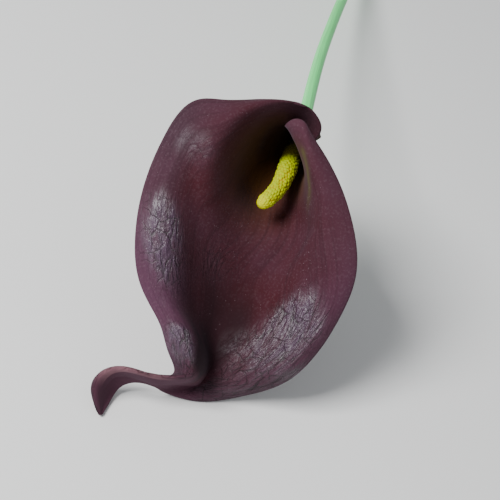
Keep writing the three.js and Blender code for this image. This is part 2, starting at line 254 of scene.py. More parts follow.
@dataclass
class Signal:
    """A number in a material's node tree. Expressions on it add Math nodes."""

    graph: "Graph"
    socket: Socket

    __add__ = __radd__ = math_node("ADD")
    __mul__ = __rmul__ = math_node("MULTIPLY")
    __sub__ = math_node("SUBTRACT")
    __rsub__ = math_node("SUBTRACT", swapped=True)
    lower = math_node("MINIMUM")
    higher = math_node("MAXIMUM")

    def distance_from(self, value: float) -> "Signal":
        """Returns how far the signal is from a value."""
        return (self - value).higher(value - self)

    def eased(self, low: float, high: float) -> "Signal":
        """Eases the signal from 0 at low to 1 at high.

        Args:
            low: Where the result is still 0.
            high: Where the result reaches 1. Below low, it reverses the mask.

        Returns:
            The eased mask.
        """
        inputs = {"Value": self, "From Min": low, "From Max": high}
        settings = {"interpolation_type": "SMOOTHSTEP"}
        node = self.graph.node("ShaderNodeMapRange", settings, inputs)
        return Signal(self.graph, node.outputs["Result"])


class Graph:
    """The node tree of one material, with one Principled BSDF at its end."""

    MIX_SHARE, MIX_FIRST, MIX_SECOND, MIX_RESULT = 0, 6, 7, 2

    def __init__(self, name: str) -> None:
        """Makes the material of the given name."""
        self.material = bpy.data.materials.new(name)
        self.material.use_nodes = True
        self.tree = self.material.node_tree
        self.tree.nodes.clear()
        self.shader = self.node("ShaderNodeBsdfPrincipled")
        output = self.node("ShaderNodeOutputMaterial")
        self.tree.links.new(self.shader.outputs[0], output.inputs["Surface"])
        self.place = self.node("ShaderNodeTexCoord").outputs["Object"]
        self.flat = self.node("ShaderNodeUVMap", {"uv_map": "UVMap"}).outputs["UV"]
        axes = self.node("ShaderNodeSeparateXYZ", None, {0: self.flat}).outputs
        self.across = Signal(self, axes["X"])
        self.along = Signal(self, axes["Y"])

    def node(self, kind: str, settings: dict | None = None,
             inputs: dict | None = None) -> bpy.types.Node:
        """Adds a node.

        Args:
            kind: The node's type.
            settings: Its own settings, which are set first.
            inputs: The values of its sockets, or the signals or sockets that feed them.

        Returns:
            The new node.
        """
        made = self.tree.nodes.new(kind)
        for key, value in (settings or {}).items():
            setattr(made, key, value)
        for key, value in (inputs or {}).items():
            self.feed(made.inputs[key], value)
        return made

    def feed(self, socket: Socket, value: object) -> None:
        """Links an input socket to a signal or socket, or sets it to a number or colour."""
        if isinstance(value, Signal):
            self.tree.links.new(value.socket, socket)
        elif isinstance(value, Socket):
            self.tree.links.new(value, socket)
        elif socket.type == "RGBA":
            socket.default_value = (*value, 1.0)
        else:
            socket.default_value = value

    def dress(self, **inputs: object) -> None:
        """Feeds the shader's sockets, named with underscores for spaces."""
        for key, value in inputs.items():
            name = key.replace("_", " ").title().replace("Ior", "IOR")
            self.feed(self.shader.inputs[name], value)

    def vector(self, operation: str, first: object, second: object) -> Socket:
        """Adds one Vector Math node and returns its result."""
        inputs = {0: first, 1: second}
        return self.node("ShaderNodeVectorMath", {"operation": operation}, inputs).outputs[0]

    def stretched(self, scale: Triple) -> Socket:
        """Returns the sheet's own coordinates, stretched by a factor along each axis."""
        return self.vector("MULTIPLY", self.flat, scale)

    def warped(self, source: Socket, scale: float, reach: float) -> Socket:
        """Pushes coordinates about with a noise, by up to half of the reach each way."""
        inputs = {"Vector": source, "Scale": scale, "Detail": 2.0}
        clouds = self.node("ShaderNodeTexNoise", None, inputs).outputs["Color"]
        centred = self.vector("SUBTRACT", clouds, (0.5, 0.5, 0.5))
        push = self.vector("MULTIPLY", centred, (reach, reach, reach))
        return self.vector("ADD", source, push)

    def clouds(self, scale: float, detail: float, source: Socket | None = None) -> Signal:
        """Returns a soft noise around one half, with its features per metre or per source unit."""
        inputs = {"Vector": source or self.place, "Scale": scale, "Detail": detail}
        return Signal(self, self.node("ShaderNodeTexNoise", None, inputs).outputs[0])

    def cells(self, scale: float, feature: str = "F1", source: Socket | None = None) -> Signal:
        """Returns the distances in a cell pattern, by the cells per unit and Blender's feature."""
        inputs = {"Vector": source or self.place, "Scale": scale}
        node = self.node("ShaderNodeTexVoronoi", {"feature": feature}, inputs)
        return Signal(self, node.outputs["Distance"])

    def attribute(self, name: str) -> Signal:
        """A number that the mesh carries."""
        node = self.node("ShaderNodeAttribute", {"attribute_name": name})
        return Signal(self, node.outputs["Fac"])

    def zone(self, name: str) -> Signal:
        """Returns the mask of a zone of the sheet, by its name in ZONES."""
        across, along = ZONES[name]
        masks = [self.across.eased(*span) for span in across]
        masks += [self.along.eased(*span) for span in along]
        return math.prod(masks[1:], start=masks[0])

    def mix(self, share: Signal | float, first: object, second: object) -> Socket:
        """Mixes two colours, or the sockets of colours, by the share of the second."""
        settings = {"data_type": "RGBA", "clamp_factor": True}
        inputs = {self.MIX_SHARE: share, self.MIX_FIRST: first, self.MIX_SECOND: second}
        return self.node("ShaderNodeMix", settings, inputs).outputs[self.MIX_RESULT]

    def layered(self, base: Colour, layers: list[tuple[Signal, float, Colour]]) -> Socket:
        """Lays colours over one another.

        Args:
            base: The lowest colour.
            layers: A mask, its strength and its colour for each layer, from the lowest up.

        Returns:
            The colour on top.
        """
        for mask, strength, colour in layers:
            base = self.mix(mask * strength, base, colour)
        return base

    def bump(self, height: Signal, depth: float, under: Socket | None = None) -> Socket:
        """Returns the normal of a relief from 0 to 1, with its depth in metres, over another's."""
        inputs = {"Strength": 1.0, "Distance": depth, "Height": height}
        if under is not None:
            inputs["Normal"] = under
        return self.node("ShaderNodeBump", None, inputs).outputs[0]


@dataclass(frozen=True)
class PetalFinish:
    """Satin burgundy skin with a leathery crinkle, a little dust, and painted sheen, highlights and
    shade in its colour.
    """

    blade: Colour = (0.044, 0.0046, 0.0066)
    throat: Colour = (0.076, 0.027, 0.0)
    # lilac tone of random patches and the tail, and a painted sheen along the margins
    rim: Colour = (0.072, 0.026, 0.042)
    # painted violet sheen for the glare patches on the lower left and lower right
    painted_violet_sheen: Colour = (0.085, 0.032, 0.066)
    # painted shade: a darker, greyer plum on the upper left
    painted_shade_plum: Colour = (0.028, 0.015, 0.022)
    # near-black red: painted shade in the crinkle's creases, the channel and the hollow by the lip,
    # and the veins' own faint streaks
    vein_and_painted_shade: Colour = (0.010, 0.0012, 0.0018)
    # painted highlight: a pale olive line down the fold's edge
    painted_fold_highlight: Colour = (0.090, 0.080, 0.010)
    # painted highlight: the tail's upper edge, lit as a pale pink band
    painted_highlight_band: Colour = (0.22, 0.105, 0.125)
    collar: Colour = (0.095, 0.105, 0.035)
    dust: Colour = (0.32, 0.24, 0.27)
    # painted sheen: lighter bluish-violet on the polished patches
    painted_sheen: Colour = (0.055, 0.024, 0.062)
    highlight: Colour = (0.78, 0.84, 1.0)
    sheen: Colour = (0.72, 0.66, 0.80)
    roughness: float = 0.90
    roughest: float = 0.97
    polish: float = 0.30
    coat: float = 2.0
    coat_roughness: float = 0.39
    crease_depth: float = 0.50 * MM
    grain_depth: float = 0.04 * MM
    grain_scale: float = 1500
    vein_stretch: Triple = (75, 3.5, 0)
    sheet_size: Triple = (0.105, 0.12, 0)

    def crinkled(self, graph: Graph) -> tuple[Signal, Signal, Signal]:
        """Returns the crinkle's relief, a painted shade down its fine creases and the patches that
        can shine.
        """
        lengthwise = graph.warped(graph.stretched(self.sheet_size), 190, 3.2 * MM)
        crossing = graph.warped(graph.place, 170, 4.5 * MM)
        wide = graph.cells(250, "DISTANCE_TO_EDGE", lengthwise).eased(0.0, 0.09)
        crossed = graph.cells(230, "DISTANCE_TO_EDGE", crossing).eased(0.0, 0.06)
        folds = graph.clouds(300, 4, lengthwise).distance_from(0.5).eased(0.0, 0.18)
        fine = graph.clouds(1000, 3, lengthwise).distance_from(0.5).eased(0.0, 0.14)
        broken = graph.clouds(190, 2).eased(0.36, 0.60)
        whole = 1 - broken
        relief = wide * whole * 0.25 + crossed * broken * 0.25 + folds * 0.48 + fine * 0.16
        painted_crack_shade = (1 - wide) * whole * 0.9 + (1 - crossed) * broken * 0.8 + (1 - folds) * 0.25
        return relief, painted_crack_shade, graph.clouds(260, 3, lengthwise).eased(0.36, 0.60)

    def polished(self, graph: Graph, worn: Signal, plates: Signal) -> Signal:
        """Returns where the crinkled skin shines, on the given patches of it."""
        shine = worn * (1 - 0.6 * graph.zone("bottom")) * graph.zone("before the tail")
        dulled = (1 - 0.75 * graph.zone("bottom margin")) * (1 - 0.5 * graph.zone("middle"))
        return shine * shine * (0.35 + 0.65 * plates) * dulled

    def coloured(self, graph: Graph, painted_crack_shade: Signal, polished: Signal) -> Socket:
        """Lays the skin's colours over one another, with the painted shade of the creases and the
        painted sheen on top.
        """
        zone = graph.zone
        outside = graph.attribute("outside")
        inside = 1 - outside
        edge = graph.across.distance_from(0.5).eased(0.30, 0.5)
        throat = zone("throat").higher(zone("throat by the fold"))
        veins = graph.clouds(1.0, 3, graph.stretched(self.vein_stretch)).eased(0.45, 0.75)
        # painted shade in the channel beside the lip and the hollow below it
        painted_hollow_shade = zone("channel").higher(zone("painted_hollow_shade"))
        tail = (zone("bottom right") * 0.4).higher(zone("tail"))
        # painted highlight along the tail's upper edge
        painted_highlight_band = (graph.across - 0.08 * graph.along.eased(0.86, 0.93)).eased(0.39, 0.34)
        painted_highlight_band = painted_highlight_band * zone("curl") * (graph.clouds(420, 3) * 0.8 + 0.35)
        specks = graph.cells(1100).eased(0.20, 0.08)
        scattered = graph.clouds(900, 1).eased(0.58, 0.66)
        gathered = graph.attribute("dusty") * inside * graph.clouds(1400, 1).eased(0.42, 0.56)
        return graph.layered(self.blade, [
            # painted sheen: the margins lighter and lilac
            (edge, 0.6, self.rim),
            # painted violet sheen on the lower left and lower right
            (zone("lower left"), 0.65, self.painted_violet_sheen),
            # painted shade on the upper left
            (zone("upper left") * inside, 0.6, self.painted_shade_plum),
            (zone("lower right"), 0.35, self.painted_violet_sheen),
            # painted shade under the rim, back toward the dark blade colour
            (zone("painted shade under the rim") * inside, 0.55, self.blade),
            (graph.clouds(90, 3) * 0.9 - 0.19, 1.0, self.rim),
            (graph.clouds(self.grain_scale, 3) - 0.5, 0.30, self.dust),
            (throat * inside, 1.0, self.throat),
            (veins, 0.30, self.vein_and_painted_shade),
            # painted shade in the channel and the hollow
            (painted_hollow_shade, 0.8, self.vein_and_painted_shade),
            (tail, 1.0, self.rim),
            # painted highlight on the tail's upper edge
            (painted_highlight_band, 1.0, self.painted_highlight_band),
            # painted highlight down the fold's edge
            (graph.attribute("fold") * inside, 0.65, self.painted_fold_highlight),
            (zone("collar") * outside, 1.0, self.collar),
            (specks * (scattered * 0.25 + gathered * 0.8), 1.0, self.dust),
            # painted sheen on the polished patches
            (polished, 0.55, self.painted_sheen),
            # painted shade down the crinkle's creases
            (painted_crack_shade, 0.8, self.vein_and_painted_shade),
        ])

    def material(self) -> bpy.types.Material:
        """Builds the material and returns it."""
        graph = Graph("burgundy_petal")
        worn = graph.attribute("crinkle").eased(0.08, 0.85)
        relief, painted_crack_shade, plates = self.crinkled(graph)
        polished = self.polished(graph, worn, plates)
        normal = graph.bump(relief * worn, self.crease_depth)
        grain = graph.clouds(self.grain_scale, 3) * (0.5 + 0.5 * worn)
        normal = graph.bump(grain, self.grain_depth, normal)
        uneven = (graph.clouds(220, 3) - 0.5) * 0.12
        roughness = self.roughness + uneven - self.polish * polished + 0.1 * graph.zone("tail")
        graph.dress(base_color=self.coloured(graph, painted_crack_shade * worn, polished), normal=normal,
                    roughness=roughness.lower(self.roughest),
                    specular_ior_level=0.27, specular_tint=self.highlight,
                    coat_weight=(polished * self.coat).lower(1.0), coat_normal=normal,
                    coat_roughness=self.coat_roughness,
                    sheen_weight=0.05, sheen_roughness=0.5, sheen_tint=self.sheen)
        return graph.material


@dataclass(frozen=True)
class SpadixFinish:
    """Matt yellow grains, paler on top and greener toward the base, with a more orange painted
    shade in the hollows between them and a dark painted shade over the spike's lower part.
    """

    grain: Colour = (0.44, 0.52, 0.0)
    # painted shade between the florets
    painted_hollow_shade: Colour = (0.46, 0.31, 0.0)
    green: Colour = (0.31, 0.41, 0.0)
    tip: Colour = (0.58, 0.60, 0.0)
    # painted shade: the spike's lower part, in the throat, coloured dark
    painted_base_shade: Colour = (0.030, 0.024, 0.0)
    glow: Triple = (1.0, 0.8, 0.1)
    roughness: float = 0.36
    grain_depth: float = 0.04 * MM
    glow_depth: float = 0.8 * MM

    def material(self) -> bpy.types.Material:
        """Builds the material and returns it."""
        graph = Graph("yellow_florets")
        relief = graph.attribute("relief")
        # the painted shade of the hollows lies under the grains' own yellow
        colour = graph.layered(self.painted_hollow_shade, [
            (relief.eased(0.0, 0.65), 1.0, self.grain),
            (graph.clouds(700, 2) - 0.4, 0.4, self.green),
            (graph.along.eased(0.72, 0.50), 0.7, self.green),
            (graph.along.eased(0.90, 0.97), 0.7, self.tip),
            # painted shade over the spike's lower part
            (graph.along.eased(0.60, 0.46), 1.0, self.painted_base_shade),
        ])
        normal = graph.bump(graph.clouds(3000, 2), self.grain_depth)
        graph.dress(base_color=colour, roughness=self.roughness - 0.08 * relief, normal=normal,
                    specular_ior_level=0.06, subsurface_weight=0.12,
                    subsurface_radius=self.glow, subsurface_scale=self.glow_depth)
        return graph.material


@dataclass(frozen=True)
class StemFinish:
    """Smooth pale green skin with faint streaks along it, and a paler cut face."""

    skin: Colour = (0.18, 0.92, 0.28)
    streak: Colour = (0.13, 0.78, 0.21)
    cut: Colour = (0.62, 0.72, 0.45)
    pith: Colour = (0.72, 0.78, 0.58)
    glow: Triple = (0.6, 1.0, 0.5)
    roughness: float = 0.42
    fibre_stretch: Triple = (26, 9, 0)
    fibre_depth: float = 0.05 * MM
    grain_depth: float = 0.02 * MM
    glow_depth: float = 1.0 * MM

    def material(self) -> bpy.types.Material:
        """Builds the material and returns it."""
        graph = Graph("green_stem")
        cut = graph.attribute("cut")
        fibres = graph.clouds(1.0, 3, graph.stretched(self.fibre_stretch))
        pores = graph.cells(1900).eased(0.1, 0.5)
        skin = graph.layered(self.skin, [
            (fibres.eased(0.35, 0.7), 1.0, self.streak),
            (graph.clouds(60, 3) - 0.45, 0.8, self.streak),
        ])
        face = graph.layered(self.cut, [
            (graph.attribute("inward").eased(0.2, 0.75), 1.0, self.pith),
            (1 - pores, 0.35, self.streak),
        ])
        normal = graph.bump(fibres, self.fibre_depth)
        normal = graph.bump(graph.clouds(1800, 2), self.grain_depth, normal)
        graph.dress(base_color=graph.mix(cut, skin, face), normal=normal,
                    roughness=self.roughness + 0.25 * cut, subsurface_weight=0.1,
                    subsurface_radius=self.glow, subsurface_scale=self.glow_depth)
        return graph.material


@dataclass(frozen=True)
class FloorFinish:
    """Plain pale floor."""

    tone: Colour = (0.90, 0.90, 0.89)

    def material(self) -> bpy.types.Material:
        """Builds the material and returns it."""
        graph = Graph("pale_floor")
        graph.dress(base_color=self.tone, roughness=0.9)
        return graph.material


class Face(Enum):
    """The two faces of the sheet, each with its direction along the surface normal."""

    INSIDE = 1.0
    OUTSIDE = -1.0


def add_object(name: str, data: bpy.types.ID) -> bpy.types.Object:
    """Adds an object with its data to the scene and returns it."""
    made = bpy.data.objects.new(name, data)
    bpy.context.scene.collection.objects.link(made)
    return made


def build_piece(name: str, node: str, material: bpy.types.Material,
                grids: list[tuple[np.ndarray, dict[str, np.ndarray]]]) -> None:
    """Builds a closed mesh from grids, as a piece that stands for a node of the frame.

    Args:
        name: The piece's name.
        node: The node that it replaces, which is hidden.
        material: Its finish.
        grids: For each grid its points, row by row, and the numbers that they carry, by name.
    """
    mesh = bmesh.new()
    mesh.loops.layers.uv.new("UVMap")
    layers = {key: mesh.verts.layers.float.new(key) for key in grids[0][1]}
    for points, numbers in grids:
        rows, columns = points.shape[0] - 1, points.shape[1] - 1
        made = bmesh.ops.create_grid(mesh, x_segments=columns, y_segments=rows, size=0.5,
                                     calc_uvs=True)
        for vert in made["verts"]:
            place = round((vert.co.y + 0.5) * rows), round((vert.co.x + 0.5) * columns)
            vert.co = points[place]
            for key, layer in layers.items():
                vert[layer] = numbers[key][place]
    bmesh.ops.remove_doubles(mesh, verts=mesh.verts, dist=MERGE_DISTANCE)
    bmesh.ops.dissolve_degenerate(mesh, edges=mesh.edges, dist=MERGE_DISTANCE)
    bmesh.ops.recalc_face_normals(mesh, faces=mesh.faces)
    for face in mesh.faces:
        face.smooth = True
    open_edges = sum(1 for edge in mesh.edges if not edge.is_manifold)
    data = bpy.data.meshes.new(name)
    mesh.to_mesh(data)
    mesh.free()
    data.materials.append(material)
    piece = add_object(name, data)
    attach(piece, BODY)
    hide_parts(node)
    LOG.info("%s: %d faces, %d open edges", name, len(data.polygons), open_edges)


@dataclass
class LyingPose:
    """Where the bloom lies: tipped back about x, and set down on the floor."""

    tilt: float = math.radians(47)
    shift: Triple = (0.0, 0.0, 0.0)

    def tip(self, points: np.ndarray) -> np.ndarray:
        """Turns points of the bloom's axes into the lying pose, without setting them down."""
        x, y, z = points[..., 0], points[..., 1], points[..., 2]
        cos, sin = math.cos(self.tilt), math.sin(self.tilt)
        return np.stack([x, y * cos - z * sin, y * sin + z * cos], axis=-1)

    def place(self, points: np.ndarray) -> np.ndarray:
        """Returns points of the bloom's axes where they lie in the frame."""
        return self.tip(points) + np.array(self.shift)

    def settle(self, points: np.ndarray, node: str) -> None:
        """Sets the bloom down, so that the given points of its axes fill a node's box."""
        low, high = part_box(node)
        lying = self.tip(points).reshape(-1, 3)
        middle = (lying.min(axis=0) + lying.max(axis=0)) / 2
        self.shift = tuple((np.array(low) + np.array(high)) / 2 - middle)


@dataclass
class TubeRing:
    """One ring of the rolled tube, by the height, radius and turn of its midrib and margins."""

    midrib: Pair
    outer: Triple
    inner: Triple

    @staticmethod
    def beside_axis(height: float, radius: float, turn: float) -> np.ndarray:
        """Finds a point beside the tube's axis.

        Args:
            height: Distance along the axis.
            radius: Distance from it.
            turn: Degrees from the midrib toward the outer margin.

        Returns:
            The point in the bloom's axes.
        """
        angle = math.radians(turn)
        rise = THROAT_RISE * (height / THROAT_RISE_HEIGHT) ** 2
        point = AXIS_START + AXIS * height + TO_OUTER_SIDE * radius * math.sin(angle)
        return point + TO_MIDRIB * (radius * math.cos(angle) - rise)

    @staticmethod
    def around_axis(turn: float) -> np.ndarray:
        """Returns the direction round the tube at a given turn, toward larger turns."""
        angle = math.radians(turn)
        return TO_OUTER_SIDE * math.cos(angle) - TO_MIDRIB * math.sin(angle)

    @staticmethod
    def reach(turn: float) -> float:
        """Returns how far a handle reaches, in radii, for an arc of this many degrees."""
        return 4 / 3 * math.tan(math.radians(turn) / 4)

    def section(self) -> np.ndarray:
        """Returns the ring as seven control points, from the outer to the inner margin."""
        outer_reach = self.reach(self.outer[2])
        inner_reach = self.reach(self.inner[2])
        rib = self.beside_axis(*self.midrib, 0)
        outer = self.beside_axis(*self.outer)
        inner = self.beside_axis(self.inner[0], self.inner[1], -self.inner[2])
        return np.array([
            outer,
            outer - self.around_axis(self.outer[2]) * outer_reach * self.outer[1],
            rib + self.around_axis(0) * outer_reach * self.midrib[1],
            rib,
            rib - self.around_axis(0) * inner_reach * self.midrib[1],
            inner + self.around_axis(-self.inner[2]) * inner_reach * self.inner[1],
            inner,
        ])


@dataclass
class Spathe:
    """The rolled sheet: a tube at the stem, an open blade and a curled tail.

    Waves, ripples and grooves are millimetres, and scales are features per metre. The crest and the
    lower blade are the crinkled parts, each with its width and middle across, from -1 to 1.
    """

    thickness: float = 0.9 * MM
    margin_thickness: float = 0.65 * MM
    tail_thickness: float = 1.1 * MM
    length: float = 150 * MM
    collar_radius: float = 2.6 * MM
    collar_overlap: float = 1.3 * MM
    columns: int = 188
    rows: int = 218
    samples: int = 400
    outline_samples: int = 120
    step: float = 0.001
    rounding: tuple[float, ...] = (0.0, 0.13, 0.5, 1.0)
    narrow_rounding: float = 0.2
    end_share: float = 0.002
    fold_samples: int = 48
    # width of the painted highlight along the fold
    fold_highlight_width: float = 1.5 * MM
    dust_width: float = 2.2 * MM
    wave: float = 0.22
    wave_scale: float = 95
    ripple: float = 0.06
    ripple_scale: float = 260
    groove: float = 0.05
    groove_scale: float = 230
    groove_width: float = 0.13
    patch_scale: float = 70
    crest: Pair = (0.21, -0.76)
    lower: Pair = (0.34, 0.52)

    def __post_init__(self) -> None:
        """Lays the spline through the rings and the blade's sections."""
        lapped = self.collar_radius + self.collar_overlap
        rings = [
            TubeRing((0, self.collar_radius), (0, lapped, 225), (0, self.collar_radius, 200)),
            TubeRing((7 * MM, 4.4 * MM), (7 * MM, 5.4 * MM, 242), (7 * MM, 3.9 * MM, 203)),
            TubeRing((13.5 * MM, 7 * MM), (12.5 * MM, 7.2 * MM, 236), (14.5 * MM, 5.2 * MM, 208)),
        ]
        sections = [ring.section() for ring in rings]
        sections += [np.array(section) * MM for section in BLADE_SECTIONS]
        self.spline = NaturalSpline(np.array(sections))

    def surface(self, along: np.ndarray, across: np.ndarray) -> np.ndarray:
        """Reads the sheet's middle surface.

        Args:
            along: One share per row, 0 at the collar and 1 at the tail's tip.
            across: For each row, shares from -1 at the outer margin to 1 at the inner one.

        Returns:
            The points, row by row, in the bloom's axes.
        """
        controls = self.spline.at(along * (len(self.spline.rows) - 1))
        halves = []
        for first, share in ((0, 1 + across), (3, across)):
            weights = np.stack([(1 - share) ** 3, 3 * share * (1 - share) ** 2,
                                3 * share**2 * (1 - share), share**3], axis=-1)
            halves.append(np.einsum("nmk,nkc->nmc", weights, controls[:, first:first + 4]))
        return np.where(across[..., None] <= 0, halves[0], halves[1])

    def normals(self, along: np.ndarray, across: np.ndarray) -> np.ndarray:
        """Returns the surface's unit normals, out of the mouth on the blade."""
        further = self.surface(np.minimum(along + self.step, 1), across)
        nearer = self.surface(np.maximum(along - self.step, 0), across)
        inward = self.surface(along, np.minimum(across + self.step, 1))
        outward = self.surface(along, np.maximum(across - self.step, -1))
        return unit(np.cross(further - nearer, inward - outward))

    def spread(self, along: np.ndarray) -> tuple[np.ndarray, np.ndarray]:
        """Spaces the columns evenly in real width, with a few close to each margin to round it.

        Args:
            along: One share per row.

        Returns:
            The share across of each column, and its distance from the nearer margin.
        """
        shares = np.tile(np.linspace(-1, 1, self.samples), (len(along), 1))
        points = self.surface(along, shares)
        lengths = np.linalg.norm(np.diff(points, axis=1), axis=2).cumsum(axis=1)
        lengths = np.concatenate([np.zeros((len(along), 1)), lengths], axis=1)
        close = np.array(self.rounding) * self.margin_thickness / 2
        across = np.zeros((len(along), self.columns + 1))
        distance = np.zeros_like(across)
        for row, length in enumerate(lengths):
            width = length[-1]
            ends = np.minimum(close, width * np.array(self.rounding) * self.narrow_rounding)
            count = self.columns + 3 - 2 * len(ends)
            middle = np.linspace(ends[-1], width - ends[-1], count)
            wanted = np.concatenate([ends[:-1], middle, (width - ends[:-1])[::-1]])
            across[row] = np.interp(wanted, length, shares[row])
            distance[row] = np.minimum(wanted, width - wanted)
        return across, distance

    def half_thickness(self, along: np.ndarray, across: np.ndarray,
                       distance: np.ndarray) -> np.ndarray:
        """Finds half the sheet's thickness, rounded off at its margins and ends.

        Args:
            along: One share per row.
            across: The share across of each column.
            distance: Distance from the nearer margin.

        Returns:
            Half the thickness at each point.
        """
        inward = smooth(1 - np.abs(across), 0, 0.25)
        sheet = self.margin_thickness + (self.thickness - self.margin_thickness) * inward
        tail = smooth(along, 0.78, 0.86) * (1 - smooth(along, 0.94, 1))
        half = (sheet + (self.tail_thickness - sheet) * tail[:, None]) / 2
        from_end = np.minimum(along, 1 - along)[:, None] * self.length
        near = np.clip(np.minimum(distance, from_end) / (self.margin_thickness / 2), 0, 1)
        return half * np.sqrt(near * (2 - near))

    def relief(self, points: np.ndarray, along: np.ndarray,
               across: np.ndarray) -> tuple[np.ndarray, np.ndarray]:
        """Works out how far the skin waves in and out, and how much it crinkles.

        Args:
            points: The middle surface.
            along: One share per row.
            across: The share across of each column.

        Returns:
            The waves in metres along the normal, and the crinkle from 0 to 1.
        """
        rows = along[:, None]
        waves = self.wave * noise_at(points, self.wave_scale)
        waves = waves + self.ripple * noise_at(points, self.ripple_scale)
        grooves = bell(noise_at(points, self.groove_scale, (5, 2, 9)), self.groove_width)
        patches = noise_at(points, self.patch_scale, (3, 1, 7))
        dip = smooth(rows, 0.54, 0.60) * (1 - smooth(rows, 0.635, 0.67))
        crest = bell(across, *self.crest) * smooth(rows, 0.475, 0.525) * (1 - 0.8 * dip)
        lower = bell(across, *self.lower) * smooth(rows, 0.46, 0.56)
        bottom = smooth(across, 0.0, 0.25) * smooth(rows, 0.56, 0.62)
        lower = np.maximum(lower, bottom) * (1 - smooth(rows, 0.68, 0.74))
        crinkle = np.clip(0.12 + 0.95 * np.maximum(crest, lower) + 0.40 * patches, 0.05, 1)
        opened = smooth(rows, 0.18, 0.32)
        relief = waves * (0.35 + 0.65 * crinkle) - self.groove * grooves * crinkle
        return relief * opened * MM, crinkle * (0.3 + 0.7 * opened)

    def fold(self, points: np.ndarray) -> tuple[np.ndarray, np.ndarray]:
        """Finds the pale painted highlight down the fold's edge, and the dust along it.

        Args:
            points: The middle surface.

        Returns:
            The painted highlight and the dust, each from 0 to 1.
        """
        rows = np.array(FOLD_LINE) * MM
        places = np.linspace(0, len(rows) - 1, self.fold_samples)
        gaps = np.linalg.norm(points[:, :, None] - NaturalSpline(rows).at(places), axis=-1)
        nearest = gaps.argmin(axis=2) / (self.fold_samples - 1)
        gap = gaps.min(axis=2)
        # painted highlight along the fold's edge, fading toward the blade
        pale = bell(gap, self.fold_highlight_width) * (1 - smooth(nearest, 0.30, 0.62))
        dusty = bell(gap, self.dust_width) * smooth(nearest, 0.1, 0.3)
        return pale, dusty

    def settle(self, pose: LyingPose) -> None:
        """Sets the pose's place on the floor from the spathe's own outline."""
        count = self.outline_samples
        along = np.linspace(0, 1, count)
        across = np.tile(np.linspace(-1, 1, count), (count, 1))
        middle = self.surface(along, across)
        half = self.half_thickness(along, across, np.ones_like(across))
        offset = self.normals(along, across) * half[..., None]
        pose.settle(np.stack([middle + offset, middle - offset]), "spathe")

    def build(self, pose: LyingPose, finish: PetalFinish) -> None:
        """Builds the sheet in its pose and finish, with both faces and rounded margins."""
        ends = np.array(self.rounding[:-1]) * self.end_share
        count = self.rows + 3 - 2 * len(self.rounding)
        inner = np.linspace(self.end_share, 1 - self.end_share, count)
        along = np.concatenate([ends, inner, (1 - ends)[::-1]])
        across, distance = self.spread(along)
        middle = self.surface(along, across)
        normals = self.normals(along, across)
        half = self.half_thickness(along, across, distance)
        waves, crinkle = self.relief(middle, along, across)
        pale, dusty = self.fold(middle)
        middle = middle + normals * waves[..., None]
        grids = []
        for face in Face:
            points = pose.place(middle + normals * (half * face.value)[..., None])
            outside = np.full_like(crinkle, (1 - face.value) / 2)
            numbers = {"outside": outside, "crinkle": crinkle, "fold": pale, "dusty": dusty}
            grids.append((points, numbers))
        build_piece("rolled_spathe", "spathe", finish.material(), grids)


class CentreLine:
    """A smooth line through a few points, with a steady frame carried along it."""

    FINE_SAMPLES = 4000

    def __init__(self, points: np.ndarray, count: int) -> None:
        """Samples the line evenly along its length.

        Args:
            points: The points that it passes.
            count: How many samples it takes, ends included.
        """
        spline = NaturalSpline(points)
        fine = spline.at(np.linspace(0, len(points) - 1, self.FINE_SAMPLES))
        length = np.concatenate([[0], np.linalg.norm(np.diff(fine, axis=0), axis=1).cumsum()])
        wanted = np.linspace(0, length[-1], count)
        axes = [np.interp(wanted, length, fine[:, axis]) for axis in range(3)]
        self.centres = np.stack(axes, axis=1)
        self.tangents = unit(np.gradient(self.centres, axis=0))
        side, sides = np.array([1.0, 0.0, 0.0]), []
        for tangent in self.tangents:
            side = unit(side - tangent * float(side @ tangent))
            sides.append(side)
        self.sides = np.array(sides)
        self.ups = np.cross(self.tangents, self.sides)

    def tube(self, radii: np.ndarray) -> np.ndarray:
        """Wraps a surface round the line.

        Args:
            radii: The radius for each sample and column, first and last column alike.

        Returns:
            The points, row by row.
        """
        angles = np.linspace(0, 2 * math.pi, radii.shape[1])
        round_side = self.sides[:, None] * np.cos(angles)[None, :, None]
        round_up = self.ups[:, None] * np.sin(angles)[None, :, None]
        return self.centres[:, None] + (round_side + round_up) * radii[..., None]


